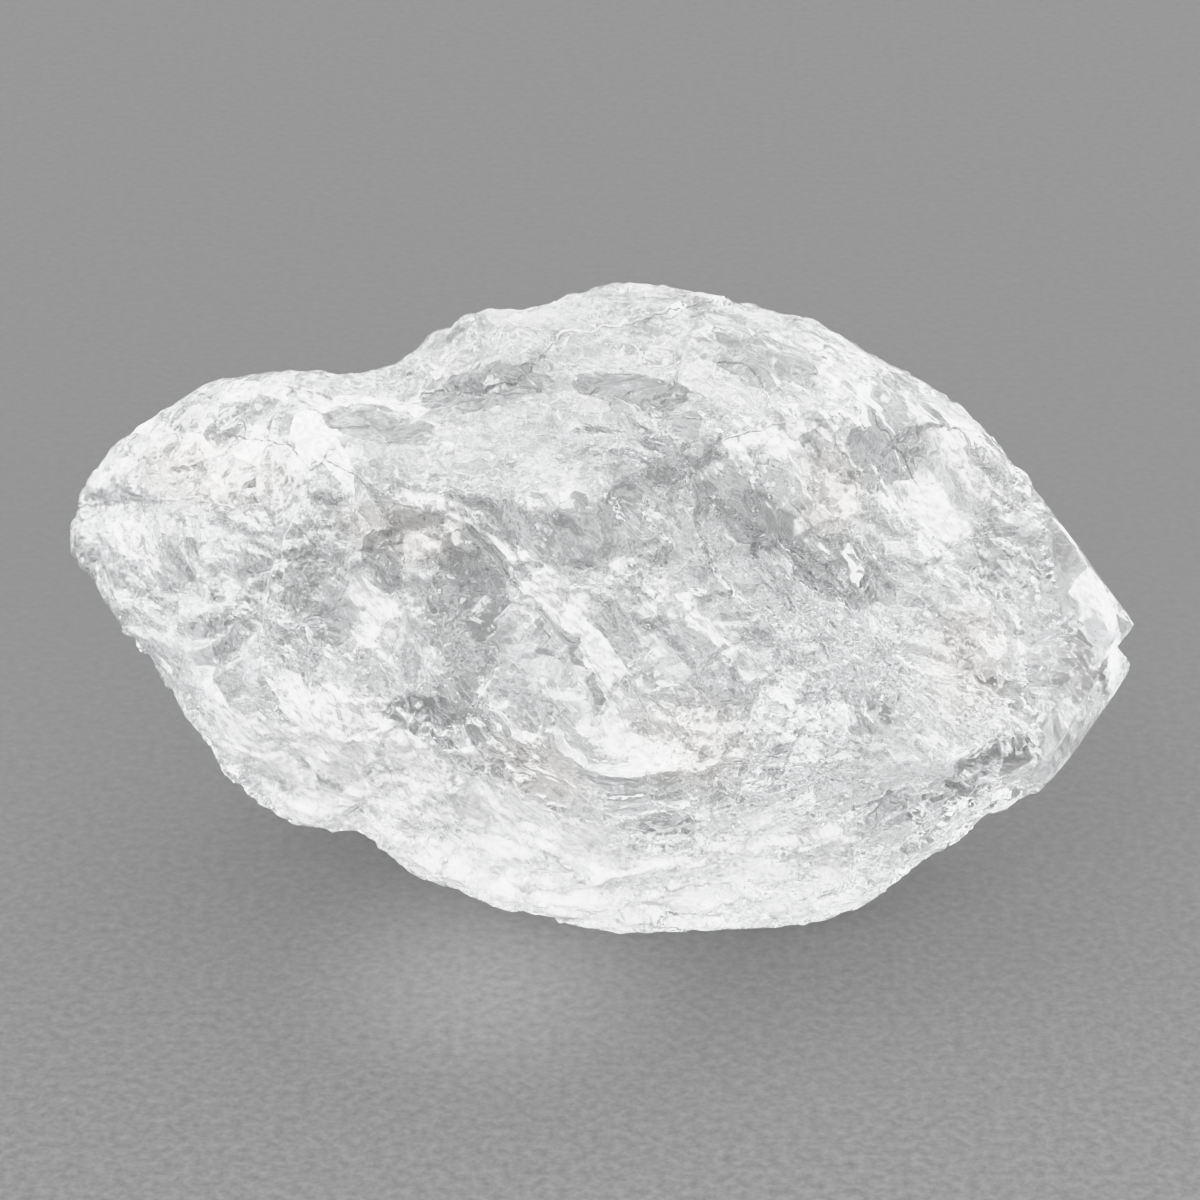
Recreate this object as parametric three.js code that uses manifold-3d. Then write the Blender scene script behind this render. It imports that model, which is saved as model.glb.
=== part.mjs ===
// A clear quartz crystal, 60 mm long, corroded all over and lying on one of its prism faces.
// Units are millimetres, +Z is up and +X runs along the crystal to its pointed end.
//
// The stone is one solid. It is worked out as a distance from its heart in every direction: a rounded
// body of the crystal's outline, trimmed by flat growth faces, bitten by chips, flaked all over in
// shallow shells and raised in etched lumps. The resting face and the nick in the tip are then cut.
import * as THREE from "three";
import { mergeVertices } from "three/addons/utils/BufferGeometryUtils.js";
import { ImprovedNoise } from "three/addons/math/ImprovedNoise.js";
import Module from "manifold-3d";

// Driving dimensions, in millimetres and degrees.
const HEART_HEIGHT = 16.4; // from the resting face up to the heart
const RIM_LEAN = 30; // the rim's plane leans back by this much from upright
const FRONT_DEPTH = 17; // from the rim's plane to the front of the rounded body
const BACK_DEPTH = 19;
const SQUARENESS = 2.6; // of the rounded body: 2 is an ellipsoid, and more is boxier
const FACE_ROUNDING = 0.7; // how far faces melt into each other where they meet
const BODY_ROUNDING = 0.6; // and into the rounded body
const CHIP_ROUNDING = 1.0;
const RIDGE_PULL = [0.5, 3.4]; // vertices this near a ridge, in degrees, sit on it or are drawn to it
const MESH_DETAIL = 20; // divisions of each icosahedron edge, less one
const STRETCH = new THREE.Vector3(1.5, 1, 0.95); // evens out the triangles over a long body
const MERGE_WITHIN = 1e-4;

// The rim, seen square on: across the crystal from its heart, then up the leaning rim plane.
const RIM = [
  [30.6, -1.1], [28.1, 2.3], [25.8, 5.3], [22.9, 8.9], [19.7, 11.8], [15.5, 14.7], [11.5, 16.5],
  [8.0, 17.6], [4.5, 18.3], [-0.4, 18.2], [-2.2, 17.4], [-5.4, 17.3], [-9.2, 15.8], [-11.4, 13.9],
  [-14.0, 13.3], [-18.0, 13.5], [-22.3, 13.0], [-24.7, 11.4], [-27.4, 9.9], [-30.4, 7.0],
  [-30.5, 4.2], [-28.4, 1.0], [-25.2, -2.7], [-21.4, -8.0], [-17.4, -11.8], [-13.5, -12.2],
  [-10.7, -14.6], [-6.8, -16.1], [-2.0, -17.4], [2.8, -18.1], [6.4, -17.7], [11.0, -17.9],
  [14.4, -16.8], [17.6, -14.7], [21.6, -11.6], [24.6, -10.2], [28.0, -6.1], [30.2, -3.0],
];

// Flat faces. swing leans a face to the pointed end and rise leans it up, both from square on to the
// rim's plane. reach is its distance from the heart. side is 1 in front of the rim and -1 behind it.
const FACES = [
  { name: "front prism face", side: 1, swing: 2, rise: -4, reach: 14.6 },
  { name: "front left", side: 1, swing: -20, rise: -10, reach: 14.5 },
  { name: "front right shoulder", side: 1, swing: 25, rise: 6, reach: 14.6 },
  { name: "front right flank", side: 1, swing: 24, rise: -50, reach: 16.4 },
  { name: "front lower flank", side: 1, swing: -4, rise: -57, reach: 15.6 },
  { name: "front lower left", side: 1, swing: -27, rise: -52, reach: 14.8 },
  { name: "left end, lower", side: 1, swing: -38, rise: 0, reach: 19.2 },
  { name: "left end, upper", side: 1, swing: -38, rise: 31, reach: 19.6 },
  { name: "front top left", side: 1, swing: -6, rise: 44, reach: 15.4 },
  { name: "front top right", side: 1, swing: 28, rise: 46, reach: 17.6 },
  { name: "tip face, upper", side: 1, swing: 51, rise: 20, reach: 23.3 },
  { name: "tip face, lower", side: 1, swing: 56, rise: -24, reach: 25.2 },
  { name: "back prism face", side: -1, swing: -4, rise: 6, reach: 16.6 },
  { name: "back right", side: -1, swing: 34, rise: 4, reach: 17.2 },
  { name: "back tip face", side: -1, swing: 56, rise: -4, reach: 26.2 },
  { name: "back left", side: -1, swing: -38, rise: 14, reach: 19.6 },
  { name: "back left end", side: -1, swing: -58, rise: -14, reach: 26.2 },
  { name: "back top", side: -1, swing: 8, rise: 48, reach: 16.6 },
  { name: "back underside", side: -1, swing: -12, rise: -52, reach: 17.0 },
];
const LEAST_FACING = 0.05; // a face seen flatter than this is never reached

// Large chips, each the bite of a ball: its middle as across, up the rim plane and out in front of it,
// and its radius.
const CHIPS = [
  { name: "saddle behind the left knob", at: [-12.5, 18.5, 11.5], radius: 8.6 },
  { name: "hollow in the front", at: [-8.0, -1.0, 24.2], radius: 10.8 },
  { name: "hollow under the shoulder", at: [8.0, 5.0, 24.4], radius: 11.4 },
  { name: "notch below the left end", at: [-16.5, -18.2, 8.5], radius: 7.2 },
  { name: "dip in the right flank", at: [22.5, -15.0, 11.5], radius: 7.6 },
  { name: "back chip", at: [-7.0, 8.0, -25.0], radius: 11.0 },
  { name: "back right chip", at: [14.0, -9.0, -21.0], radius: 9.0 },
];

// Shallow shells flaked off all over. They are spread by a spiral, shifted and sized at random, lighter
// within a band at the rim, and left off the tip.
const FLAKES = {
  count: 110,
  seed: 11,
  spiralShift: 0.2,
  radius: [5, 13],
  depth: [0.2, 0.7],
  rimDepth: 0.12,
  rimBand: 7.5,
  tipFrom: 25,
};

// Etched lumps: how far apart they are and how far they stand out. They fade towards the smooth tip.
const LUMPS = {
  sizes: [
    { spacing: 9, height: 0.6 },
    { spacing: 3.4, height: 0.3 },
  ],
  shift: new THREE.Vector3(7, 3, 5),
  fadeFrom: 22,
  fadeTo: 25,
  leftAtTip: 0.2,
};

// The nick that parts the two knobs of the tip: its inner corner on the rim plane, and its size.
const NICK = { across: 29.1, up: -1.9, side: 4, length: 30 };

// A block of the ground that the stone rests on, to cut the resting face with.
const GROUND = { length: 90, width: 70, depth: 30 };

const lumpNoise = new ImprovedNoise();
const degrees = THREE.MathUtils.degToRad;

// The rim's own axes: across, up the leaning plane, and out to the front.
const ACROSS = new THREE.Vector3(1, 0, 0);
const UP_RIM = new THREE.Vector3(0, Math.sin(degrees(RIM_LEAN)), Math.cos(degrees(RIM_LEAN)));
const TO_FRONT = new THREE.Vector3(0, -Math.cos(degrees(RIM_LEAN)), Math.sin(degrees(RIM_LEAN)));

function fromRim([across, up, out]) {
  return new THREE.Vector3()
    .addScaledVector(ACROSS, across)
    .addScaledVector(UP_RIM, up)
    .addScaledVector(TO_FRONT, out);
}

// The rim as a smooth closed curve, read as its radius at any angle round the heart.
function makeRimRadius(corners) {
  const curve = new THREE.CatmullRomCurve3(
    corners.map(([across, up]) => new THREE.Vector3(across, up, 0)),
    true,
    "centripetal",
  );
  const turn = 2 * Math.PI;
  const steps = 720;
  const pointsPerStep = 6;
  const radii = new Float64Array(steps);
  for (const p of curve.getPoints(steps * pointsPerStep)) {
    const angle = (Math.atan2(p.y, p.x) + turn) % turn;
    radii[Math.floor((angle / turn) * steps) % steps] = Math.hypot(p.x, p.y);
  }
  return (angle) => {
    const place = (((angle + turn) % turn) / turn) * steps - 0.5;
    const low = Math.floor(place);
    const before = radii[(low + steps) % steps];
    const after = radii[(low + 1) % steps];
    return THREE.MathUtils.lerp(before, after, place - low);
  };
}

const rimRadius = makeRimRadius(RIM);

// How far the rounded body reaches in a direction given in the rim's axes.
function bodyReach(across, up, out) {
  const inPlane = Math.hypot(across, up);
  const depth = out > 0 ? FRONT_DEPTH : BACK_DEPTH;
  const sum =
    (inPlane / rimRadius(Math.atan2(up, across))) ** SQUARENESS +
    (Math.abs(out) / depth) ** SQUARENESS;
  return sum ** (-1 / SQUARENESS);
}

// A minimum whose corner is rounded over a distance.
function softMin(a, b, rounding) {
  if (a === Infinity) return b;
  const share = Math.max(rounding - Math.abs(a - b), 0) / rounding;
  return Math.min(a, b) - (share * share * rounding) / 4;
}

const faces = FACES.map(({ side, swing, rise, reach }) => ({
  normal: fromRim([Math.tan(degrees(swing)), Math.tan(degrees(rise)), side]).normalize(),
  reach,
}));

const chips = CHIPS.map(({ at, radius }) => ({ middle: fromRim(at), radius }));

// Where a ray from the heart first enters a ball, or Infinity if it misses.
function ballReach(direction, { middle, radius }) {
  const along = direction.dot(middle);
  const inside = along * along - middle.lengthSq() + radius * radius;
  return along > 0 && inside > 0 ? along - Math.sqrt(inside) : Infinity;
}

// The stone before it was flaked and etched.
function plainReach(direction) {
  let reach = Infinity;
  for (const face of faces) {
    const facing = direction.dot(face.normal);
    if (facing > LEAST_FACING) reach = softMin(reach, face.reach / facing, FACE_ROUNDING);
  }
  const body = bodyReach(direction.dot(ACROSS), direction.dot(UP_RIM), direction.dot(TO_FRONT));
  reach = softMin(reach, body, BODY_ROUNDING);
  for (const chip of chips) {
    reach = softMin(reach, ballReach(direction, chip), CHIP_ROUNDING);
  }
  return reach;
}

// Draws a direction towards the ridge between the two faces that lie nearest along it.
function pullToRidge(direction) {
  const [first, second] = faces
    .map((face) => ({ ...face, steep: direction.dot(face.normal) / face.reach }))
    .sort((a, b) => b.steep - a.steep);
  const ridge = first.normal
    .clone()
    .divideScalar(first.reach)
    .addScaledVector(second.normal, -1 / second.reach)
    .normalize();
  const away = direction.dot(ridge);
  const [near, far] = RIDGE_PULL.map((angle) => Math.sin(degrees(angle)));
  const kept = away * THREE.MathUtils.smoothstep(Math.abs(away), near, far);
  return direction.addScaledVector(ridge, kept - away).normalize();
}

// The plain skin's point and outward normal in a direction.
function plainSkin(direction) {
  const step = 0.02;
  const side = new THREE.Vector3(0, 0, 1).cross(direction).normalize();
  const rise = direction.clone().cross(side);
  const at = (a, b) => {
    const d = direction.clone().addScaledVector(side, a).addScaledVector(rise, b).normalize();
    return d.multiplyScalar(plainReach(d));
  };
  const alongSide = at(step, 0).sub(at(-step, 0));
  const alongRise = at(0, step).sub(at(0, -step));
  return { point: at(0, 0), normal: alongSide.cross(alongRise).normalize() };
}

function makeFlakes({ count, seed, spiralShift, radius, depth, rimDepth, rimBand, tipFrom }) {
  THREE.MathUtils.seededRandom(seed);
  const random = (low, high) => THREE.MathUtils.lerp(low, high, THREE.MathUtils.seededRandom());
  const goldenAngle = Math.PI * (3 - Math.sqrt(5));
  const flakes = [];
  for (let i = 0; i < count; i++) {
    const along = 1 - (2 * (i + 0.5)) / count;
    const out = Math.sqrt(1 - along * along);
    const angle = i * goldenAngle + random(-spiralShift, spiralShift);
    const direction = new THREE.Vector3(along, out * Math.cos(angle), out * Math.sin(angle));
    const { point, normal } = plainSkin(direction.multiply(STRETCH).normalize());
    const ball = random(...radius);
    const nearRim = Math.abs(point.dot(TO_FRONT)) < rimBand;
    const bite = nearRim ? rimDepth : random(...depth);
    if (point.x > tipFrom) continue;
    flakes.push({ middle: point.addScaledVector(normal, ball - bite), radius: ball });
  }
  return flakes;
}

const flakes = makeFlakes(FLAKES);

function lumpHeight(point) {
  const { sizes, shift, fadeFrom, fadeTo, leftAtTip } = LUMPS;
  let height = 0;
  for (const lump of sizes) {
    const { x, y, z } = point.clone().divideScalar(lump.spacing).add(shift);
    height += lump.height * lumpNoise.noise(x, y, z);
  }
  const nearTip = THREE.MathUtils.smoothstep(point.x, fadeFrom, fadeTo);
  return height * THREE.MathUtils.lerp(1, leftAtTip, nearTip);
}

function reachOf(direction) {
  let reach = plainReach(direction);
  for (const flake of flakes) reach = Math.min(reach, ballReach(direction, flake));
  return reach + lumpHeight(direction.clone().multiplyScalar(reach));
}

function toSolid(wasm, geometry) {
  const bare = new THREE.BufferGeometry().setAttribute("position", geometry.getAttribute("position"));
  if (geometry.index) bare.setIndex(geometry.index);
  const merged = mergeVertices(bare, MERGE_WITHIN);
  const mesh = new wasm.Mesh({
    numProp: 3,
    vertProperties: merged.attributes.position.array,
    triVerts: new Uint32Array(merged.index.array),
  });
  return new wasm.Manifold(mesh);
}

function toGeometry(solid) {
  const { vertProperties, triVerts } = solid.getMesh();
  return new THREE.BufferGeometry()
    .setAttribute("position", new THREE.BufferAttribute(vertProperties, 3))
    .setIndex(new THREE.BufferAttribute(triVerts, 1));
}

// The stone's skin, still whole round its heart.
function makeSkin() {
  const geometry = new THREE.IcosahedronGeometry(1, MESH_DETAIL);
  const position = geometry.getAttribute("position");
  const direction = new THREE.Vector3();
  for (let i = 0; i < position.count; i++) {
    direction.fromBufferAttribute(position, i).multiply(STRETCH).normalize();
    pullToRidge(direction).multiplyScalar(reachOf(direction));
    position.setXYZ(i, direction.x, direction.y, direction.z);
  }
  return geometry;
}

// A square bar that bites a corner into the tip, square to the rim's plane.
function makeNick({ across, up, side, length }) {
  const middle = fromRim([across + side / Math.SQRT2, up, 0]);
  return new THREE.BoxGeometry(side, side, length)
    .rotateZ(degrees(45))
    .applyMatrix4(new THREE.Matrix4().makeBasis(ACROSS, UP_RIM, TO_FRONT))
    .translate(middle.x, middle.y, middle.z);
}

function makeGround({ length, width, depth }) {
  return new THREE.BoxGeometry(length, width, depth).translate(0, 0, -HEART_HEIGHT - depth / 2);
}

// The whole stone, with the middle of its footprint box at the origin and its resting face at z = 0.
function makeStone(wasm) {
  const solid = toSolid(wasm, makeSkin())
    .subtract(toSolid(wasm, makeGround(GROUND)))
    .subtract(toSolid(wasm, makeNick(NICK)));
  const stone = toGeometry(solid);
  stone.computeBoundingBox();
  const middle = stone.boundingBox.getCenter(new THREE.Vector3());
  return stone.translate(-middle.x, -middle.y, -stone.boundingBox.min.z);
}

const wasm = await Module();
wasm.setup();

const quartz = new THREE.MeshStandardMaterial({ color: 0xe4e8ea, roughness: 0.25, metalness: 0 });
const crystal = new THREE.Mesh(makeStone(wasm), quartz);
crystal.name = "quartz_crystal";

const group = new THREE.Group();
group.add(crystal);
export default group;
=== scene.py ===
import math
import bmesh
import bpy
import numpy as np
from mathutils import Matrix, Vector, noise


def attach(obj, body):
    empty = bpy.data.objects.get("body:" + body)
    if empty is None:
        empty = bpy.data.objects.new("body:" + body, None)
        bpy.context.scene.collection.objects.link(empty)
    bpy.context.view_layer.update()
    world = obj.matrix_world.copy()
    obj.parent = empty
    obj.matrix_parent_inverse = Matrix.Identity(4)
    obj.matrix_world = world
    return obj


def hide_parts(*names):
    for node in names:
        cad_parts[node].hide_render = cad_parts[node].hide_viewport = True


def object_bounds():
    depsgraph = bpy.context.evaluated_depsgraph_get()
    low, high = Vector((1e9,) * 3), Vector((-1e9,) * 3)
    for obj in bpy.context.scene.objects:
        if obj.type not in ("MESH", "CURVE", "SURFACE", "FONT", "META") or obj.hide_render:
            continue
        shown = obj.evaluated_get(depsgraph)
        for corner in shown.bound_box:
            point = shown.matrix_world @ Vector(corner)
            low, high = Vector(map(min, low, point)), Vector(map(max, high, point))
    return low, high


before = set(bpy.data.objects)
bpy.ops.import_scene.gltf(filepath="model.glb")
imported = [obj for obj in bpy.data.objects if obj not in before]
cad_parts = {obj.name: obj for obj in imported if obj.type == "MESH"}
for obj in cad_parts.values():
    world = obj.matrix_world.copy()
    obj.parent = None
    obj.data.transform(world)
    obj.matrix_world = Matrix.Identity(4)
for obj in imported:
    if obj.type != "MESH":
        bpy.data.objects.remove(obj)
cadLow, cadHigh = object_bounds()
print("frame loaded", [round(side * 1000, 1) for side in cadHigh - cadLow], "mm")

mm = 0.001
scene = bpy.context.scene
rng = np.random.default_rng(7)

camera = {
    "lens": 150,
    "sensor": 36,
    "elevation": 30,                 # degrees
    "distance": 284.6,               # mm
    "aim": (-0.12, -0.07, 16.95),    # mm
}


class Value:
    # one output of a node; sums on it add Math nodes
    def __init__(self, nodes, socket):
        self.nodes = nodes
        self.socket = socket

    def math(self, operation, first, second=0.0, clamp=False):
        return self.nodes.add("ShaderNodeMath", {"operation": operation, "use_clamp": clamp},
                              {0: first, 1: second})

    def __add__(self, other):
        return self.math("ADD", self, other)

    def __radd__(self, other):
        return self.math("ADD", other, self)

    def __sub__(self, other):
        return self.math("SUBTRACT", self, other)

    def __rsub__(self, other):
        return self.math("SUBTRACT", other, self)

    def __mul__(self, other):
        return self.math("MULTIPLY", self, other)

    def __rmul__(self, other):
        return self.math("MULTIPLY", other, self)

    def __pow__(self, other):
        return self.math("POWER", self, other)

    def __abs__(self):
        return self.math("ABSOLUTE", self)

    def clamped(self):
        return self.math("ADD", self, 0.0, clamp=True)

    def fraction(self):
        return self.math("FRACT", self)

    def sibling(self, output):
        # another output of the same node
        return Value(self.nodes, self.socket.node.outputs[output])

    def vector(self, operation, other, output=0):
        return self.nodes.add("ShaderNodeVectorMath", {"operation": operation},
                              {0: self, 1: other}, output)

    def eased(self, low, high):
        # 0 below low, 1 above high, smooth between
        return self.nodes.add("ShaderNodeMapRange", {"interpolation_type": "SMOOTHSTEP"},
                              {"Value": self, "From Min": low, "From Max": high})


class Nodes:
    # one node tree; add() makes a node, sets it up, then fills or links its inputs
    def __init__(self, tree):
        self.tree = tree
        tree.nodes.clear()

    def add(self, kind, settings=None, inputs=None, output=0):
        node = self.tree.nodes.new(kind)
        for name, value in (settings or {}).items():
            setattr(node, name, value)
        for name, value in (inputs or {}).items():
            if isinstance(value, Value):
                self.tree.links.new(value.socket, node.inputs[name])
            else:
                node.inputs[name].default_value = value
        return Value(self, node.outputs[output]) if node.outputs else node


def newMaterial(name):
    material = bpy.data.materials.new(name)
    material.use_nodes = True
    return material, Nodes(material.node_tree)


def meshPoints(mesh):
    points = np.empty(len(mesh.vertices) * 3)
    mesh.vertices.foreach_get("co", points)
    return points.reshape(-1, 3)


def movePoints(mesh, points):
    mesh.vertices.foreach_set("co", points.ravel())
    mesh.update()


def meshNormals(mesh):
    normals = np.empty(len(mesh.vertices) * 3)
    mesh.vertices.foreach_get("normal", normals)
    return normals.reshape(-1, 3)


def meshEdges(mesh):
    edges = np.empty(len(mesh.edges) * 2, dtype=np.int64)
    mesh.edges.foreach_get("vertices", edges)
    return edges.reshape(-1, 2)


def relax(values, edges, steps, share):
    # evens out numbers on the points by moving each towards its neighbours' middle
    count = np.bincount(edges.ravel(), minlength=len(values))
    columns = values.reshape(len(values), -1).copy()
    for step in range(steps):
        for column in columns.T:
            total = np.bincount(edges[:, 0], column[edges[:, 1]], len(column))
            total += np.bincount(edges[:, 1], column[edges[:, 0]], len(column))
            column += share * (total / count - column)
    return columns.reshape(values.shape)


def eased(values, low, high):
    # 0 below low, 1 above high, smooth between
    t = np.clip((values - low) / (high - low), 0, 1)
    return t * t * (3 - 2 * t)


def noiseAt(points, spacing, shift=0.0):
    return np.array([noise.noise(Vector(p) / spacing + Vector((shift, shift, shift))) for p in points])


# the view's own axes: across, up, and out towards the eye
rise = math.radians(camera["elevation"])
viewAxes = np.array([
    [1, 0, 0],
    [0, math.sin(rise), math.cos(rise)],
    [0, -math.cos(rise), math.sin(rise)],
])


def seenFrom(points):
    # where points in mm appear from the front: across and up, on the plane through the aim
    turned = (points - np.array(camera["aim"])) @ viewAxes.T
    return turned[:, :2] * (camera["distance"] / (camera["distance"] - turned[:, 2:]))


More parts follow.
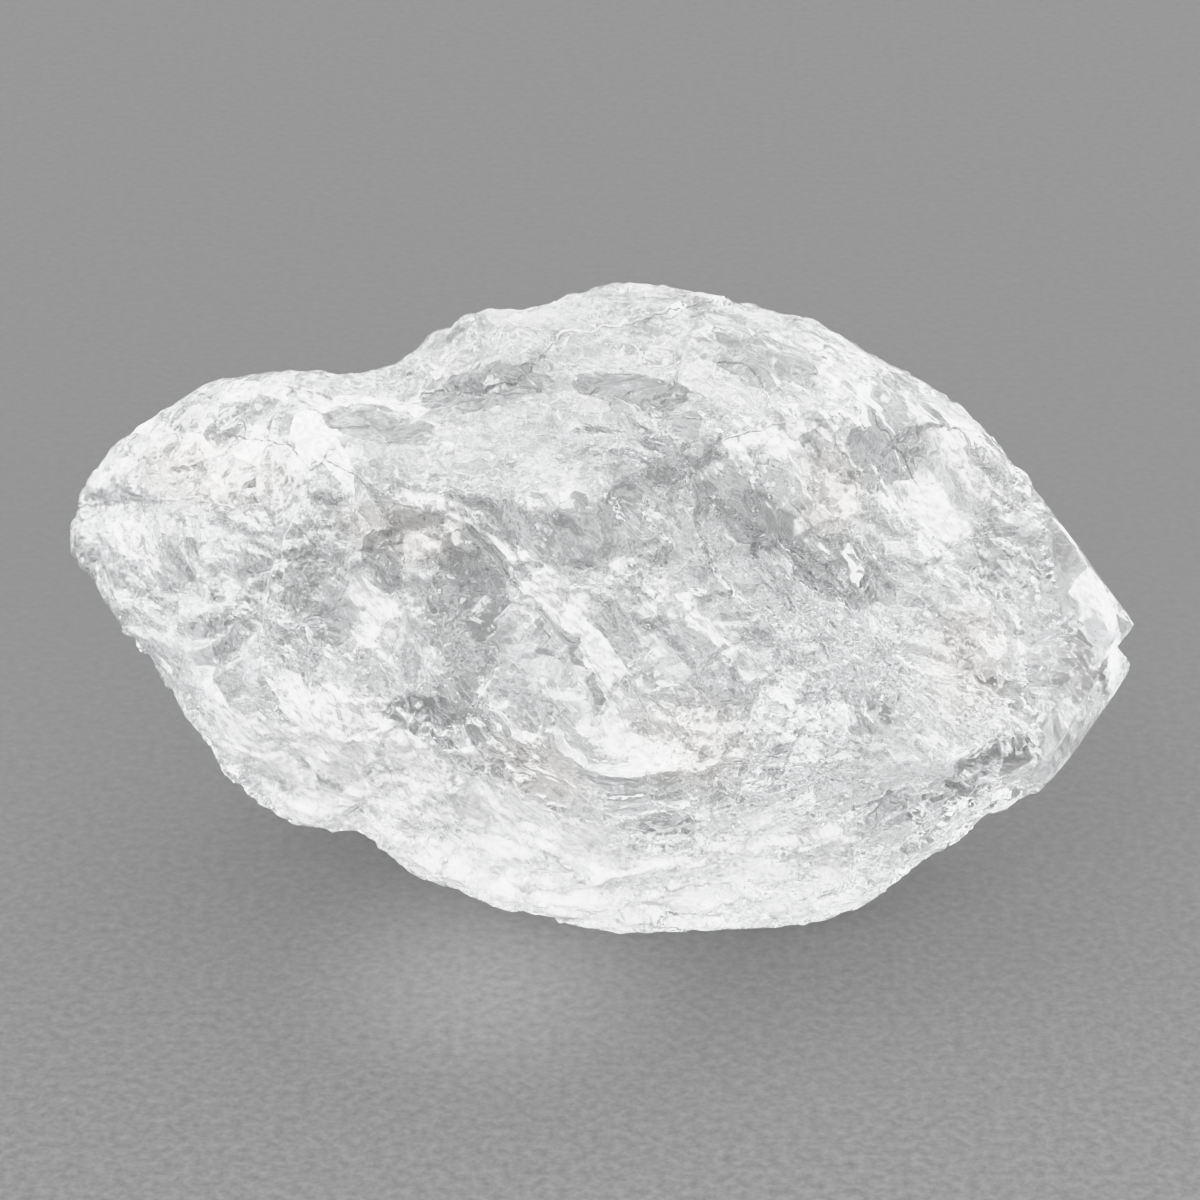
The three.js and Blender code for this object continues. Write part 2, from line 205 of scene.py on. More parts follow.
crystal = {
    "splits": 3,                    # extra points on each edge of the solid
    "smoothSteps": 26,              # rounds off the solid's edges before the cuts
    "keepTip": (24.0, 26.0),        # mm along X over which the pointed end stays unrounded
    "tipPast": 26.5,                # mm along X past which every side is smooth
    "tipEdge": (-0.3, 0.2),         # mm across the edge of the smooth end
    "flatBelow": (0.4, 1.2),        # mm above the resting face
    "flatHold": 0.4,                # how far the resting face is kept from the cuts
    "heldFrom": 0.5,                # no cut starts where more than this is kept
    "underDepth": 1.2,              # how much deeper the cuts are on the underside
    "rimEase": 0.55,                # how much shallower they are around the rim
    # how many, reach in mm, depth as a share of it, lean in degrees
    "chips": (500, (1.6, 4.5), (0.01, 0.03), (4, 12)),
    "chipDeepest": 0.3,             # mm
    "flakes": [                     # how many, half width in mm, depth as a share of it
        (120, (3.0, 6.5), (0.050, 0.090)),
        (500, (1.4, 3.0), (0.050, 0.100)),
    ],
    "flakeStretch": (1.1, 2.1),
    "flakesTurned": 0.3,            # share of the flakes with their ledge on the other side
    "flowReach": 5.0,               # mm over which the flow follows a mark
    "flowSpread": 18.0,             # degrees
    "flowSteps": (-84, 66, 21),     # degrees: first, past the last, step
    "wobble": [(3.2, 0.55), (1.1, 0.22)],     # how ragged the outlines are: spacing and amount in mm
    "grain": [(2.3, 0.10), (1.0, 0.06)],      # spacing and height in mm
    "rimGrain": (0.8, 0.22),        # more of it around the rim
    "sizeSteps": 140,               # how widely the cuts' own sinking is evened out again
    "ledgeFade": 5,                 # how far a ledge's drop reaches, against its height
    "ledgeReach": 9.0,              # mm from a line within which it counts
    "raggedSize": 0.9,              # mm
    "swellSize": 3.0,               # mm
    "swellStretch": 2.2,
    "flowTurn": -40,                # degrees that the fine scales and facets are turned
    "flowStretch": 2.0,
    "frontFrom": (-0.05, 0.15),     # how far a face turns to the eye where the marks begin and are full
    "awayFrom": -0.1,               # and below which they are scattered at random instead
    "awayWindows": (26, (0.9, 2.8)),          # how many, and their reach in mm
    "awayEtched": (26, (1.2, 4.0)),
    # painted shade on the sides turned away from the eye
    "awayPaintedShade": 0.5,
    "underFrom": (0.0, 0.35),       # how far a face turns from the eye where the frosted side begins
    "underCalm": 0.4,
    "fades": {                      # where a mark starts and is full: 0 on its ellipse, 1 at its middle
        "windows": (-0.6, 0.0),
        "greyer": (-0.3, 0.5),
        "calm": (-0.2, 0.5),
        "frost": (-0.25, 0.45),
        "warm": (-0.3, 0.6),
    },
    # The marks are placed as seen from the front, in mm across and up from the aim. After its middle
    # and half sizes, a mark has its turn in degrees and how strong it is.
    "flows": [                      # where, and degrees that the flakes run there
        ((-22.0, 9.0), -8), ((-25.0, 0.0), -35), ((-12.0, 9.0), -14), ((-8.0, 14.0), 20),
        ((0.0, 14.0), 0), ((12.0, 13.0), -28), ((-8.0, 3.0), -48), ((0.0, 4.0), -58),
        ((9.0, 5.0), -58), ((16.0, 6.0), -58), ((13.0, -1.0), -36), ((22.0, 3.0), -48),
        ((20.0, -6.0), -38), ((3.0, -6.0), -70), ((-12.0, -2.0), -50), ((-14.0, -9.0), -38),
        ((-2.0, -14.0), -8), ((12.0, -12.0), 22), ((22.0, -10.0), 40),
    ],
    "windows": [                    # clear places, darkened by painted shade as strong as each mark
        ((-15.7, -1.7), (1.4, 1.0), 0, 0.35),
        ((-12.2, 2.3), (1.0, 1.6), 10, 0.45),
        ((-9.1, -6.9), (3.0, 1.1), -14, 0.4),
        ((-1.1, 3.7), (1.8, 1.6), 0, 0.3),
        ((1.4, 4.8), (1.1, 1.7), 0, 0.3),
        ((-7.4, 0.6), (1.9, 2.6), 0, 0.55),
        ((8.2, 5.0), (2.7, 1.7), -40, 0.9),
        ((13.8, 1.6), (2.9, 1.3), -24, 0.9),
        ((17.8, 7.9), (0.6, 0.9), -20, 0.5),
        ((15.9, -6.5), (1.8, 1.4), 0, 0.25),
        ((-21.9, -2.3), (1.4, 1.3), 0, 0.35),
        ((5.1, 10.0), (0.8, 0.8), 0, 0.4),
        ((15.9, 9.7), (1.7, 3.1), -10, 0.45),
        ((-12.6, 9.8), (2.8, 0.9), -14, 0.45),
        ((17.5, -11.6), (2.3, 1.2), 25, 0.5),
        ((22.6, -8.9), (2.6, 1.0), 30, 0.5),
        ((22.6, -5.2), (2.2, 0.9), -20, 0.4),
        ((-6.0, 12.2), (3.2, 1.3), 12, 0.35),
        ((2.0, 11.8), (3.2, 0.9), -12, 0.2),
        ((9.3, 13.6), (2.6, 1.3), -30, 0.35),
    ],
    "greyer": [                     # darker places, painted shade
        ((-15.0, 10.8), (2.8, 2.2), -10, 0.8),
        ((0.5, 13.1), (10.5, 3.8), -5, 0.7),
        ((21.3, -9.0), (3.8, 3.6), 30, 1.0),
        ((12.8, -16.0), (5.0, 2.4), 20, 0.8),
        ((28.0, 1.0), (3.6, 3.2), -50, 1.0),
    ],
    "calm": [                       # places with less relief
        ((-2.0, -12.0), (12.5, 4.8), -5, 0.75),
        ((-13.0, -8.0), (6.0, 3.0), -38, 0.5),
        ((2.5, -3.0), (5.0, 3.4), 0, 0.7),
        ((-1.5, 3.5), (2.6, 2.6), 0, 0.6),
        ((-22.0, 9.5), (6.0, 2.8), -5, 0.5),
    ],
    "etched": [                     # rough places, all as strong
        ((-2.0, 11.2), (9.5, 3.2), 0),
        ((19.5, -8.2), (5.5, 2.8), 28),
        ((-13.9, 8.4), (3.2, 1.1), -12),
        ((-23.3, 3.1), (5.7, 2.4), -18),
        ((-18.8, 3.4), (1.0, 0.9), 0),
        ((-10.2, 4.0), (2.6, 1.1), -10),
        ((-12.5, 10.0), (2.8, 0.9), -12),
        ((0.6, 7.4), (3.0, 1.6), 0),
        ((10.5, 13.7), (2.7, 1.5), 0),
        ((-4.0, 15.4), (4.3, 1.5), 6),
        ((21.3, -3.1), (3.1, 3.4), 0),
        ((20.5, -6.0), (4.8, 1.8), -35),
        ((16.8, -12.5), (2.4, 2.0), 0),
        ((2.3, -16.2), (1.5, 1.5), 0),
        ((-2.8, -11.1), (3.0, 1.0), -32),
        ((-27.2, 1.3), (1.7, 0.9), -50),
        ((-24.4, -2.4), (2.6, 1.4), -35),
        ((-9.7, 6.9), (2.4, 0.5), -14),
        ((5.1, -2.3), (1.5, 1.7), -30),
        ((-15.4, 2.3), (2.3, 4.0), 0),
    ],
    "frost": [                      # veils, and painted highlights where the stone shines brightest
        ((-20.5, 9.6), (9.8, 4.9), -4, 0.3),
        ((-12.5, -11.0), (10.5, 5.0), -28, 1.0),
        ((-2.3, -15.5), (13.0, 3.6), -8, 1.0),
        ((18.7, 5.9), (1.0, 2.2), 20, 1.0),
        ((19.6, 4.2), (2.6, 0.9), -35, 0.7),
        ((21.9, 7.4), (1.6, 4.6), 40, 0.35),
        ((13.7, 7.8), (1.2, 4.0), 12, 0.5),
        ((0.2, -5.0), (1.8, 3.6), 12, 0.15),
        ((-3.0, 2.0), (8.0, 4.5), -30, 0.38),
        ((-12.5, -4.8), (6.0, 4.2), -20, 0.28),
        ((15.0, 6.3), (4.0, 2.5), 0, 0.2),
        ((4.5, -3.0), (4.0, 3.0), 0, 0.25),
        ((9.1, 9.1), (3.5, 1.3), 12, 0.6),
        ((4.0, 0.0), (1.6, 2.0), 0, 0.35),
        ((-9.7, 5.5), (3.5, 0.7), -8, 0.6),
        ((11.4, -14.2), (6.3, 2.8), 0, 0.6),
        ((-26.7, 3.4), (3.4, 1.1), -60, 0.4),
        ((2.3, -11.4), (6.8, 2.8), 0, 0.15),
        ((28.5, -3.4), (3.4, 7.4), 0, 0.35),
        ((-8.5, 11.4), (3.4, 2.8), 20, 0.3),
        ((-13.1, -1.4), (0.6, 1.5), -20, 0.5),
        ((-5.2, 2.8), (0.4, 0.9), 30, 1.0),
        ((15.4, 12.5), (3.4, 1.7), -30, 0.5),
    ],
    "warm": [                       # creamy places
        ((13.1, 6.0), (1.9, 3.0), 8, 1.0),
        ((-22.0, 7.4), (5.0, 2.2), -8, 1.0),
        ((-11.2, 3.8), (4.0, 1.7), -14, 1.0),
        ((5.2, -8.3), (3.8, 2.9), 0, 1.0),
        ((-3.5, -9.5), (3.0, 2.0), -30, 1.0),
        ((21.0, -3.5), (2.6, 3.4), 0, 1.0),
    ],
    "ledges": [                     # height in mm, and the line, with the lower side on its right
        (0.35, [(-11.4, 10.5), (-8.5, 11.3), (-4.6, 11.5), (-3.7, 12.4), (-2.2, 13.9), (0.1, 14.5),
                (2.6, 15.1), (5.7, 16.4), (7.7, 17.2)]),
        (0.2, [(-20.9, 9.3), (-17.6, 8.5), (-16.2, 7.2), (-15.3, 8.0)]),
        (0.3, [(-15.4, 7.7), (-13.7, 6.9), (-12.1, 5.6), (-9.1, 4.8)]),
        (0.25, [(-16.5, 6.0), (-17.6, 3.7), (-18.0, 2.2), (-19.2, 1.4)]),
        (0.3, [(-18.5, 2.2), (-18.7, 0.5), (-19.1, -1.7), (-20.4, -3.0), (-21.1, -3.6)]),
        (0.5, [(-7.0, 4.6), (-5.8, 3.0), (-4.8, 1.3), (-3.3, -0.3)]),
        (0.3, [(3.1, 9.7), (4.1, 8.7), (4.6, 7.5), (5.8, 7.9), (6.5, 8.5), (8.1, 9.6), (10.0, 10.0)]),
        (0.25, [(6.6, 12.2), (6.9, 13.0), (8.0, 13.2), (8.9, 12.5), (9.4, 11.3)]),
        (0.2, [(5.7, 6.8), (6.5, 4.6), (7.1, 3.1)]),
        (0.2, [(8.2, 5.8), (8.7, 3.1)]),
        (0.3, [(10.4, 6.4), (11.0, 4.8), (11.7, 3.8)]),
        (0.25, [(9.6, 3.1), (11.4, 1.7), (13.1, 0.6), (14.3, -0.5)]),
        (0.25, [(10.7, 3.0), (12.4, 1.6), (14.3, -0.2), (15.1, -2.3), (17.1, -5.1)]),
        (0.2, [(16.5, 2.3), (17.8, 1.4), (19.5, 0.5)]),
        (0.3, [(17.0, 0.0), (19.1, -1.1), (20.6, -2.6)]),
        (0.25, [(15.5, 10.2), (17.1, 8.1), (18.0, 6.5)]),
        (0.3, [(11.1, -1.3), (13.0, -2.7), (14.2, -3.9)]),
        (0.3, [(16.2, -4.7), (18.3, -5.8), (20.3, -7.5)]),
        (0.35, [(-5.1, -3.4), (-6.4, -5.2), (-7.0, -6.7), (-6.3, -8.1), (-4.8, -8.7)]),
        (0.3, [(-12.3, -7.7), (-11.4, -8.9), (-11.3, -10.9)]),
        (0.3, [(-9.8, -7.5), (-8.5, -8.8), (-7.6, -10.9)]),
        (0.3, [(-10.4, -10.7), (-9.1, -12.1), (-9.3, -13.5)]),
        (0.3, [(0.7, -2.0), (2.8, -5.7), (3.2, -8.1)]),
        (0.25, [(-0.7, -2.8), (1.3, -5.8), (1.7, -7.4)]),
        (0.2, [(5.7, -3.9), (6.9, -2.7), (8.3, -2.3)]),
        (0.2, [(5.7, -5.7), (8.3, -5.8)]),
        (0.25, [(10.0, -9.2), (11.0, -7.3), (13.7, -8.1)]),
        (0.25, [(-5.7, -11.7), (-3.3, -12.9), (-1.0, -14.2), (0.0, -15.5)]),
        (0.2, [(-4.6, -5.1), (-2.3, -5.7), (-0.6, -8.5)]),
        (0.4, [(-28.9, 5.6), (-24.5, 5.7), (-20.5, 5.3)]),
        (0.25, [(2.8, -9.7), (3.1, -11.4), (5.7, -12.2), (7.7, -11.4)]),
        (0.25, [(13.4, 9.1), (14.2, 6.8), (14.7, 4.0)]),
    ],
    "tip": [                        # outline of the smooth pointed end
        (25.2, 5.0), (25.7, 0.0), (26.8, -3.8), (24.8, -7.0), (25.0, -8.8), (24.6, -10.7),
        (28.5, -10.8), (32.4, -5.7), (32.4, 0.0), (27.9, 4.6),
    ],
}


def baseMesh():
    # the solid's own faces, each split in sixteen
    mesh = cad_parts["quartz_crystal"].data.copy()
    mesh.transform(Matrix.Scale(1 / mm, 4))
    work = bmesh.new()
    work.from_mesh(mesh)
    bmesh.ops.remove_doubles(work, verts=work.verts, dist=0.001)
    bmesh.ops.subdivide_edges(work, edges=work.edges, cuts=crystal["splits"], use_grid_fill=True)
    bmesh.ops.triangulate(work, faces=work.faces)
    work.to_mesh(mesh)
    work.free()
    mesh.materials.clear()
    piece = bpy.data.objects.new("quartzCrystal", mesh)
    scene.collection.objects.link(piece)
    return piece


def cutChips(points, normals, hold, deeper, wobble, tone):
    # flat faces that lean away from the surface around them
    count, sizes, shares, leans = crystal["chips"]
    picks = rng.integers(0, len(points), count)
    for pick in picks:
        size = rng.uniform(*sizes)
        depth = size * rng.uniform(*shares)
        lean = math.tan(math.radians(rng.uniform(*leans)))
        shade = rng.random()
        turn = rng.uniform(0, 2 * math.pi)
        if hold[pick] > crystal["heldFrom"]:
            continue
        normal = normals[pick]
        side = viewAxes[0] * math.cos(turn) + viewAxes[1] * math.sin(turn)
        tilted = normal + lean * (side - normal * (side @ normal))
        tilted /= np.linalg.norm(tilted)
        offset = points - points[pick] + normal * depth
        above = offset @ tilted
        inside = (above > 0) & (normals @ normal > 0.3)
        inside &= np.linalg.norm(offset + 0.6 * wobble, axis=1) < size
        cut = crystal["chipDeepest"] * np.tanh(above / crystal["chipDeepest"])
        points[inside] -= tilted * (cut * (1 - hold) * deeper)[inside][:, None]
        tone[inside] = shade
    return points, tone


def cutFlakes(points, normals, turns, hold, deeper, wobble, tone):
    # thin scoops that deepen to one side and end there in a ledge
    for count, sizes, shares in crystal["flakes"]:
        picks = rng.integers(0, len(points), count)
        for pick in picks:
            size = rng.uniform(*sizes)
            depth = size * rng.uniform(*shares)
            stretch = rng.uniform(*crystal["flakeStretch"])
            turn = math.radians(turns[pick] + crystal["flowSpread"] * rng.normal())
            side = 1 if rng.random() < crystal["flakesTurned"] else -1
            shade = rng.random()
            if hold[pick] > crystal["heldFrom"]:
                continue
            normal = normals[pick]
            flow = viewAxes[0] * math.cos(turn) + viewAxes[1] * math.sin(turn)
            flow = flow - normal * (flow @ normal)
            flow /= np.linalg.norm(flow)
            across = np.cross(normal, flow) * side
            reach = size * stretch
            near = np.flatnonzero(np.abs(points[:, 0] - points[pick, 0]) < reach + 1)
            offset = points[near] + wobble[near] * min(1, size / 2) - points[pick]
            along = offset @ flow / reach
            step = offset @ across / size
            inside = along ** 2 + step ** 2 < 0.98
            inside &= np.abs(offset @ normal) < 0.8 * size + 0.5
            inside &= normals[near] @ normal > 0.2
            index = near[inside]
            half = np.sqrt(1 - along[inside] ** 2)
            part = (step[inside] + half) / (2 * half)
            cut = depth * part ** 1.3 * np.sqrt(half) * (1 - hold[index]) * deeper[index]
            points[index] -= normal * cut[:, None]
            tone[index] += (shade - tone[index]) * min(1, size / 2)
    return points, tone


def flowTurns(seen):
    # degrees that the flow is turned, at places seen from the front
    total = np.zeros(len(seen))
    shares = np.full(len(seen), 1e-6)
    for place, turn in crystal["flows"]:
        share = np.exp(-((seen - np.array(place)) ** 2).sum(axis=1) / crystal["flowReach"] ** 2)
        total += share * turn
        shares += share
    return total / shares


def turnedPlace(points, turn, stretch):
    # places drawn together along one turn, so that a pattern on them comes out stretched
    turned = points @ viewAxes.T
    cosine, sine = math.cos(math.radians(turn)), math.sin(math.radians(turn))
    along = turned[:, 0] * cosine + turned[:, 1] * sine
    return np.stack([along / stretch, turned[:, 1] * cosine - turned[:, 0] * sine, turned[:, 2]], axis=1)


def cloudOn(points, spacing, octaves):
    # soft noise between about -0.5 and 0.5, finer layers half as strong
    total = np.zeros(len(points))
    for octave in range(octaves):
        total += noiseAt(points, spacing / 2 ** octave, 3.7 * spacing + octave) / 2 ** octave
    return total


def flowingCloud(points, turns, spacing, octaves):
    # soft noise that runs along the flow
    total = np.zeros(len(points))
    squares = np.full(len(points), 1e-6)
    first, last, step = crystal["flowSteps"]
    for turn in range(first, last, step):
        share = np.clip(1 - np.abs(turns - turn) / step, 0, 1)
        near = np.flatnonzero(share > 0)
        place = turnedPlace(points[near], turn, crystal["swellStretch"]) + turn
        total[near] += share[near] * cloudOn(place, spacing, octaves)
        squares += share ** 2
    return total / np.sqrt(squares)


def ellipseField(seen, middle, sizes, turn):
    # 1 at the middle, 0 on the ellipse, less outside
    angle = math.radians(turn)
    offset = seen - np.array(middle)
    along = (offset[:, 0] * math.cos(angle) + offset[:, 1] * math.sin(angle)) / sizes[0]
    aside = (offset[:, 1] * math.cos(angle) - offset[:, 0] * math.sin(angle)) / sizes[1]
    return 1 - np.hypot(along, aside)


def lineDistance(seen, line):
    # signed distance in mm to a line through the given points, positive on its right
    best = np.full(len(seen), np.inf)
    for start, end in zip(line[:-1], line[1:]):
        start, end = np.array(start), np.array(end)
        run = end - start
        share = np.clip((seen - start) @ run / (run @ run), 0, 1)
        offset = seen - start - share[:, None] * run
        distance = np.hypot(offset[:, 0], offset[:, 1])
        side = np.where(offset[:, 0] * run[1] - offset[:, 1] * run[0] >= 0, 1.0, -1.0)
        closer = distance < np.abs(best)
        best[closer] = (distance * side)[closer]
    return best


def insideOutline(seen, outline):
    # signed distance in mm to a closed outline, positive inside
    corners = np.array(outline)
    inside = np.zeros(len(seen), bool)
    for start, end in zip(corners, np.roll(corners, -1, axis=0)):
        between = (start[1] > seen[:, 1]) != (end[1] > seen[:, 1])
        slope = (end[0] - start[0]) / (end[1] - start[1] + 1e-9)
        inside ^= between & (seen[:, 0] < start[0] + slope * (seen[:, 1] - start[1]))
    distance = np.abs(lineDistance(seen, list(outline) + [outline[0]]))
    return np.where(inside, distance, -distance)


def scatteredField(points, away, count, sizes):
    # the same kind of patch, at random on the sides that the marks don't reach
    field = np.full(len(points), -1.0)
    picks = rng.choice(np.flatnonzero(away), count)
    for pick in picks:
        size = rng.uniform(*sizes)
        distance = np.linalg.norm(points - points[pick], axis=1)
        field = np.maximum(field, 1 - distance / size)
    return field


def cutLedges(points, normals, wobble, facing, hold):
    # steps along the placed lines, and the signed distance in mm to the nearest line
    front = eased(facing, *crystal["frontFrom"])
    seen = seenFrom(points + 0.5 * wobble)
    nearest = np.full(len(points), crystal["ledgeReach"])
    for height, line in crystal["ledges"]:
        distance = lineDistance(seen, line)
        drop = np.where(distance > 0, np.exp(-np.abs(distance) / (height * crystal["ledgeFade"])), 0)
        drop = drop * height * front * (1 - hold)
        points = points - normals * drop[:, None]
        closer = (np.abs(distance) < np.abs(nearest)) & (facing > crystal["frontFrom"][0])
        nearest[closer] = distance[closer]
    return points, nearest


def addGrain(points, normals, facing, hold):
    # fine bumps, with more of them around the rim
    push = np.zeros(len(points))
    for spacing, height in crystal["grain"]:
        push += height * noiseAt(points, spacing, spacing * 5)
    spacing, height = crystal["rimGrain"]
    push += height * (1 - eased(np.abs(facing), 0.1, 0.4)) * noiseAt(points, spacing, 2.0)
    return points + normals * (push * (1 - hold))[:, None]


def markShares(seen, kind):
    # how strong each mark of one kind is at the places seen
    return [weight * eased(ellipseField(seen, *mark), *crystal["fades"][kind])
            for *mark, weight in crystal[kind]]


def markLayers(points, facing, wobble):
    # where the stone is clear, darkened with painted shade, etched, frosted or whitened with painted
    # highlights, calm or creamy
    front = eased(facing, *crystal["frontFrom"])
    shown = facing > crystal["frontFrom"][0]
    away = facing < crystal["awayFrom"]
    window = scatteredField(points, away, *crystal["awayWindows"])
    etched = scatteredField(points, away, *crystal["awayEtched"])
    paintedShade = np.where(away, crystal["awayPaintedShade"], 0.0)
    under = eased(-facing, *crystal["underFrom"])
    frost = under * eased(noiseAt(points, 6.0, 31.0) + 0.5 * noiseAt(points, 2.5, 12.0), -0.35, 0.25)
    seen = seenFrom(points + 0.6 * wobble)
    for *mark, weight in crystal["windows"]:
        window = np.maximum(window, np.where(shown, ellipseField(seen, *mark), -1))
    for mark in crystal["etched"]:
        etched = np.maximum(etched, np.where(shown, ellipseField(seen, *mark), -1))
    for share in markShares(seen, "windows"):
        paintedShade = np.maximum(paintedShade, np.where(shown, share, 0))
    for share in markShares(seen, "greyer"):
        paintedShade = np.maximum(paintedShade, share * front)
    for share in markShares(seen, "frost"):
        frost = frost + share * front * (1 - frost)
    calm = np.max(markShares(seen, "calm"), axis=0) * front + crystal["underCalm"] * under
    warm = np.max(markShares(seen, "warm"), axis=0) * front
    return {"window": window, "paintedShade": paintedShade, "etched": etched, "frost": frost, "calm": calm, "warm": warm}


def makeCrystal():
    piece = baseMesh()
    mesh = piece.data
    points = meshPoints(mesh)
    edges = meshEdges(mesh)
    print("base mesh", len(points), "points", len(mesh.polygons), "faces")
    seen = seenFrom(points)
    tip = np.maximum(insideOutline(seen, crystal["tip"]), points[:, 0] - crystal["tipPast"])
    tip = eased(tip, *crystal["tipEdge"])
    flat = 1 - eased(points[:, 2], *crystal["flatBelow"])
    hold = np.clip(np.maximum(tip, crystal["flatHold"] * flat), 0, 1)
    smooth = relax(points, edges, crystal["smoothSteps"], 0.5)
    points = smooth + (points - smooth) * eased(points[:, 0], *crystal["keepTip"])[:, None]
    movePoints(mesh, points)
    normals = meshNormals(mesh)
    facing = normals @ viewAxes[2]
    turns = flowTurns(seen)
    deeper = 1 + crystal["underDepth"] * eased(-normals[:, 2], 0.1, 0.7)
    deeper *= 1 - crystal["rimEase"] * (1 - eased(np.abs(facing), 0.1, 0.5))

    wobble = np.zeros_like(points)
    for spacing, amount in crystal["wobble"]:
        for axis in range(3):
            wobble[:, axis] += amount * noiseAt(points, spacing, 5.0 + 7 * axis)
    tone = np.full(len(points), 0.5)
    whole = points.copy()
    points, tone = cutChips(points, normals, hold, deeper, wobble, tone)
    points, tone = cutFlakes(points, normals, turns, hold, deeper, wobble, tone)
    print("flakes cut")
    points, ledge = cutLedges(points, normals, wobble, facing, hold)
    points = addGrain(points, normals, facing, hold)
    # the cuts keep their relief, but the stone keeps its size
    change = points - whole
    change -= relax(change, edges, crystal["sizeSteps"], 0.5)
    points = whole + change * (1 - hold)[:, None]
    ragged = cloudOn(points, crystal["raggedSize"], 2)
    swell = flowingCloud(points + 0.4 * wobble, turns, crystal["swellSize"], 4)
    points[:, 2] = np.maximum(points[:, 2], 0)
    points = np.clip(points, np.array(cadLow) / mm, np.array(cadHigh) / mm)
    movePoints(mesh, points)
    print("ledges and grain cut")

    layers = markLayers(points, facing, wobble)
    tone = relax(tone, edges, 1, 0.5)
    layers |= {"ledge": ledge, "tone": tone, "tip": tip, "swell": swell, "ragged": ragged}
    for name, values in layers.items():
        layer = mesh.attributes.new(name, "FLOAT", "POINT")
        layer.data.foreach_set("value", values.astype(np.float32))
    layer = mesh.attributes.new("flowPlace", "FLOAT_VECTOR", "POINT")
    place = turnedPlace(points + 0.5 * wobble, crystal["flowTurn"], crystal["flowStretch"])
    layer.data.foreach_set("vector", place.astype(np.float32).ravel())
    mesh.transform(Matrix.Scale(mm, 4))
    mesh.shade_smooth()
    print("crystal", len(mesh.polygons), "faces")
    return piece


quartz = {
    "ior": 1.544,
    "passColour": (0.90, 0.93, 0.94, 1.0),
    "density": 12.0,           # what the stone absorbs, per metre
    "roughness": 0.05,
    "etchedRoughness": 0.08,   # on top of it in the etched places
    "etchedEdge": (-0.15, 0.35),
    "windowEdge": (0.10, 0.2),
    "ledgeCount": 5,
    "ledgeHeight": 0.15,       # mm
    # painted highlight along the ledges, as frosted white
    "paintedLedgeHighlight": 0.25,
    "scaleSize": 0.35,         # mm
    "scaleCount": 3,
    "scaleHeight": 0.04,       # mm
    # painted highlight on the scale edges, as frosted white
    "paintedScaleHighlight": 0.25,
    "scaleLow": 0.15,          # how much of the scales shows where nothing is etched
    "planeSize": 1.8,          # mm
    "planeTilt": 0.5,
    "lineWidth": 0.10,         # mm
    "lineHeight": 0.12,        # mm
    # painted highlight along the creases, as frosted white
    "paintedCreaseHighlight": 0.3,
    "windowCalm": 0.9,         # how far each of these evens out the relief
    "tipCalm": 0.95,
    "toneCalm": 0.7,
    "paintedWindowShade": 0.5,         # how much each of these darkens the stone: painted shade in the clear and darker places, on the back and at the pointed end, tone in the etched places and on the facets
    "etchedGrey": 0.15,
    "planeGrey": 0.18,
    "paintedTipShade": 0.33,
    "cream": 0.08,
    "frostLow": 0.03,          # frosted share everywhere
    "frostTone": 0.2,          # more of it on bright chips and facets
    "snow": 0.58,              # more of it in the veils and in the painted highlights
    "frostPass": 0.3,          # light that the frosted share lets through
    "frostRoughness": 0.5,
    "milk": (0.96, 0.955, 0.96),
}


def facetsOn(nodes, place, size):
    # flat facets that each lean their own way: their height in mm, and a random tone for each
    cells = nodes.add("ShaderNodeTexVoronoi", {}, {"Vector": place, "Scale": 1 / size})
    lean = cells.sibling("Color").vector("SUBTRACT", (0.5, 0.5, 0.5))
    height = place.vector("SUBTRACT", cells.sibling("Position")).vector("DOT_PRODUCT", lean, 1)
    return height, nodes.add("ShaderNodeSeparateColor", {}, {0: cells.sibling("Color")})


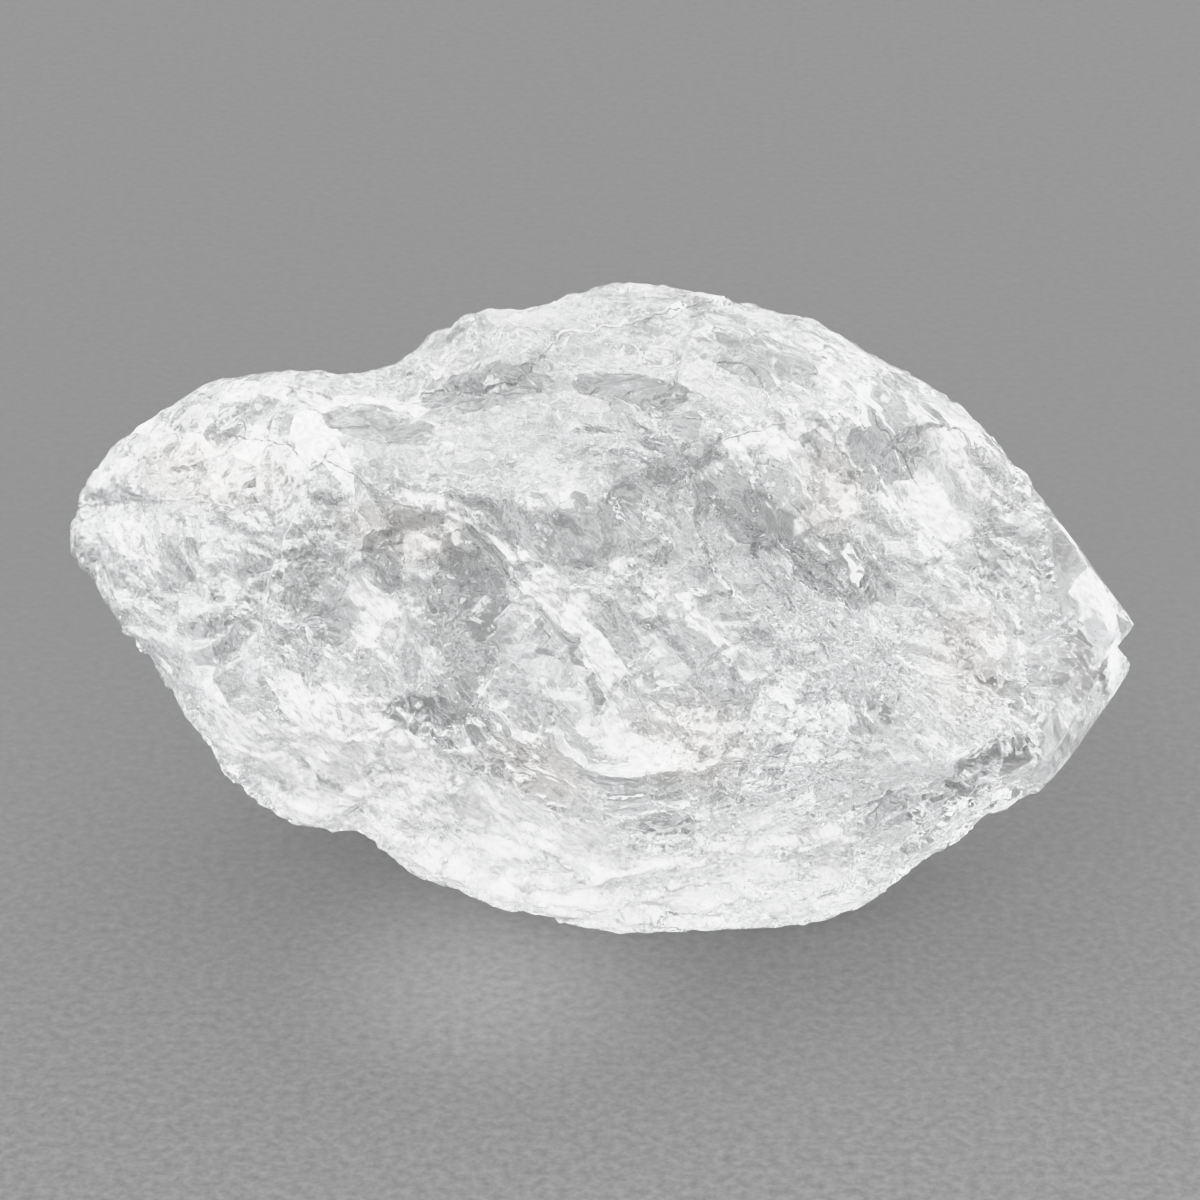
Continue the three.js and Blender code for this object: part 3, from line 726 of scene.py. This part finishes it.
def quartzMaterial():
    material, nodes = newMaterial("quartz")

    def layer(name):
        return nodes.add("ShaderNodeAttribute", {"attribute_name": name}, output=2)

    tip, tone, ragged = layer("tip"), layer("tone"), layer("ragged")
    etched = (layer("etched") + 0.7 * ragged).eased(*quartz["etchedEdge"])
    line = layer("ledge") + 0.2 * ragged
    crease = 1 - abs(line).eased(0.0, quartz["lineWidth"])

    flowPlace = nodes.add("ShaderNodeAttribute", {"attribute_name": "flowPlace"}, output=1)
    grain = nodes.add("ShaderNodeTexNoise", {}, {"Vector": flowPlace, "Scale": 1 / quartz["scaleSize"],
                                                 "Detail": 2.0, "Roughness": 0.6})
    planes, planeTone = facetsOn(nodes, flowPlace, quartz["planeSize"])
    window = (layer("window") + 0.25 * ragged + 0.5 * planeTone).eased(*quartz["windowEdge"])
    ledges = (layer("swell") * quartz["ledgeCount"]).fraction()
    scales = (grain * quartz["scaleCount"]).fraction()
    veilsAndPaintedHighlight = layer("frost").clamped()
    lively = 1 - layer("calm")
    clear = 1 - quartz["windowCalm"] * window
    cut = 1 - quartz["tipCalm"] * tip
    uneven = clear * cut * (1 - quartz["toneCalm"] * tone.eased(0.5, 0.75)) * lively
    rough = quartz["scaleLow"] + (1 - quartz["scaleLow"]) * etched
    height = ((quartz["ledgeHeight"] * ledges + quartz["scaleHeight"] * scales * rough) * uneven
              + quartz["planeTilt"] * planes * cut * lively
              - quartz["lineHeight"] * line.eased(0.0, quartz["lineWidth"]))
    bump = nodes.add("ShaderNodeBump", {}, {"Height": height * mm, "Strength": 1.0, "Distance": 1.0})

    # painted highlights: frosted white lines on the ledges, the scale edges and the creases
    edges = (quartz["paintedLedgeHighlight"] * ledges ** 8 + quartz["paintedScaleHighlight"] * rough * scales ** 4
             + quartz["paintedCreaseHighlight"] * crease)
    snow = (veilsAndPaintedHighlight + 0.9 * (0.45 * tone + 0.55 * planeTone - 0.5) + 0.5 * (grain - 0.5)).eased(0.25, 0.75)
    clouds = 0.25 + 0.8 * grain.eased(0.38, 0.62) + 0.6 * ledges * (1 - tone)
    share = (quartz["frostLow"] + quartz["frostTone"] * tone * planeTone
             + quartz["snow"] * snow * clouds + edges * uneven)
    share = (share * clear).clamped()

    # the stone's tint: painted shade in the clear and darker places, on the back and at the pointed end;
    # random tone on the etched places and facets
    grey = (0.99 - quartz["paintedTipShade"] * tip - quartz["paintedWindowShade"] * layer("paintedShade") * (0.35 + 0.65 * window)
            - (quartz["etchedGrey"] * etched * (1 - edges)
               + quartz["planeGrey"] * planeTone * planeTone) * (1 - tip)).clamped()
    cream = 1 - quartz["cream"] * layer("warm")
    paler = 0.5 + 0.5 * cream
    tint = nodes.add("ShaderNodeCombineColor", {}, {0: grey, 1: grey * paler, 2: grey * cream})
    red, green, blue = quartz["milk"]
    milk = nodes.add("ShaderNodeCombineColor", {}, {0: red, 1: green * paler, 2: blue * cream})

    bright = nodes.add("ShaderNodeBsdfPrincipled", {}, {
        "Base Color": tint, "Roughness": quartz["roughness"] + quartz["etchedRoughness"] * etched,
        "IOR": quartz["ior"], "Transmission Weight": 1.0, "Normal": bump})
    frosted = nodes.add("ShaderNodeBsdfPrincipled", {}, {
        "Base Color": milk, "Roughness": quartz["frostRoughness"], "IOR": quartz["ior"],
        "Transmission Weight": quartz["frostPass"], "Normal": bump})
    both = nodes.add("ShaderNodeMixShader", {}, {0: share, 1: bright, 2: frosted})
    inside = nodes.add("ShaderNodeVolumeAbsorption", {}, {
        "Color": quartz["passColour"], "Density": quartz["density"]})
    nodes.add("ShaderNodeOutputMaterial", {}, {"Surface": both, "Volume": inside})
    return material


piece = makeCrystal()
piece.data.materials.append(quartzMaterial())
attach(piece, "root")
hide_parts("quartz_crystal")
print("crystal finished")


studio = {
    "floorHalf": 3.0,          # m
    "floorGap": 0.02,          # mm below the crystal
    "floorGrey": 0.033,
    # the floor glows a little: painted light that lifts the crystal's contact shadow
    "paintedFloorGlow": 0.15,
    "paintedFrontLight": 0.2,          # painted light: how much paler the floor is in front
    "nearFade": (-0.06, 0.04),      # m along Y
    "speckScale": 1700.0,
    "speckLow": 0.2,           # specks at the back, and more of them in front
    "speckNear": 0.8,
    "paintedLightPool": 0.45,             # painted pool of light on the floor, for the light that the crystal gathers in front of it
    "lightPoolPlace": (-0.006, -0.013, 0.0),
    "lightPoolReach": 0.014,
    "skyTop": 1.8,
    "softboxes": [             # towards, where the edge starts and ends, strength
        ((0.05, 0.1, 0.98), 0.72, 0.80, 1.8),
        ((-0.9, 0.1, 0.45), 0.94, 0.96, 7.0),
        ((0.8, 0.6, 0.4), 0.94, 0.96, 9.0),
        ((-0.3, -0.6, 0.75), 0.972, 0.982, 10.0),
    ],
    "skyLow": 0.27,
    "skyFade": 0.15,
    "brightest": 2.5,
    "shoulder": [              # brightness, and how it is shown
        (0.15, 0.15), (0.3, 0.3), (0.45, 0.45), (0.65, 0.64), (1.0, 0.85), (1.5, 0.92), (2.5, 0.95),
    ],
    "bounces": 8,
}


def makeFloor():
    half = studio["floorHalf"]
    mesh = bpy.data.meshes.new("floor")
    corners = [(-half, -half, 0), (half, -half, 0), (half, half, 0), (-half, half, 0)]
    mesh.from_pydata(corners, [], [(0, 1, 2, 3)])
    floor = bpy.data.objects.new("floor", mesh)
    floor.location.z = -studio["floorGap"] * mm
    scene.collection.objects.link(floor)
    material, nodes = newMaterial("floorPaper")
    place = nodes.add("ShaderNodeTexCoord", output=3)
    depth = nodes.add("ShaderNodeSeparateXYZ", {}, {"Vector": place}, output=1)
    speck = nodes.add("ShaderNodeTexNoise", {}, {"Vector": place, "Scale": studio["speckScale"],
                                                 "Detail": 2.0, "Roughness": 0.6})
    # painted pool of light on the floor in front of the crystal
    paintedLightPool = 1 - place.vector("DISTANCE", studio["lightPoolPlace"], 1).eased(0.0, studio["lightPoolReach"])
    # towards the front, where the floor gets painted light and more dust specks
    near = 1 - depth.eased(*studio["nearFade"])
    specks = (studio["speckLow"] + studio["speckNear"] * near) * (speck - 0.5)
    # dust specks, times painted light: paler in front and the painted pool of light
    specksAndPaintedLight = (1 + specks) * (1 + studio["paintedFrontLight"] * near + studio["paintedLightPool"] * paintedLightPool)
    # the floor's grey, and its glow, which is painted light
    grey, glow = studio["floorGrey"] * specksAndPaintedLight, studio["paintedFloorGlow"] * specksAndPaintedLight
    shader = nodes.add("ShaderNodeBsdfPrincipled", {}, {
        "Base Color": nodes.add("ShaderNodeCombineColor", {}, {0: grey, 1: grey, 2: grey}),
        "Roughness": 0.8, "Specular IOR Level": 0.1, "Emission Strength": 1.0,
        "Emission Color": nodes.add("ShaderNodeCombineColor", {}, {0: glow, 1: glow, 2: glow})})
    nodes.add("ShaderNodeOutputMaterial", {}, {"Surface": shader})
    material.cycles.emission_sampling = "NONE"
    mesh.materials.append(material)


def makeSky():
    world = bpy.data.worlds.new("studio")
    scene.world = world
    world.use_nodes = True
    world.cycles.sampling_method = "NONE"
    nodes = Nodes(world.node_tree)
    direction = nodes.add("ShaderNodeTexCoord")
    height = nodes.add("ShaderNodeSeparateXYZ", {}, {"Vector": direction}, output=2)
    glow = studio["skyLow"] + studio["skyTop"] * height.eased(0.0, studio["skyFade"])
    for place, low, high, strength in studio["softboxes"]:
        centre = tuple(Vector(place).normalized())
        glow = glow + strength * direction.vector("DOT_PRODUCT", centre, 1).eased(low, high)
    light = nodes.add("ShaderNodeBackground", {}, {"Color": (1, 1, 1, 1), "Strength": glow})
    nodes.add("ShaderNodeOutputWorld", {}, {"Surface": light})


def makeCamera():
    data = bpy.data.cameras.new("camera")
    data.lens = camera["lens"]
    data.sensor_width = camera["sensor"]
    data.clip_start = 0.01
    holder = bpy.data.objects.new("camera", data)
    holder.location = (Vector(camera["aim"]) + Vector(viewAxes[2]) * camera["distance"]) * mm
    holder.rotation_euler = Vector(viewAxes[2]).to_track_quat("Z", "Y").to_euler()
    scene.collection.objects.link(holder)
    scene.camera = holder


def softenHighlights():
    # rolls bright tones off below pure white, and leaves the rest alone
    settings = scene.view_settings
    settings.use_curve_mapping = True
    mapping = settings.curve_mapping
    mapping.white_level = (studio["brightest"],) * 3
    curve = mapping.curves[3]
    curve.points[0].location = (0, 0)
    curve.points[1].location = (1, studio["shoulder"][-1][1])
    for bright, shown in studio["shoulder"][:-1]:
        curve.points.new(bright / studio["brightest"], shown)
    mapping.update()


makeFloor()
makeSky()
makeCamera()
scene.view_settings.view_transform = "Standard"
softenHighlights()
scene.cycles.max_bounces = studio["bounces"]
scene.cycles.transmission_bounces = studio["bounces"]
print("stage set")
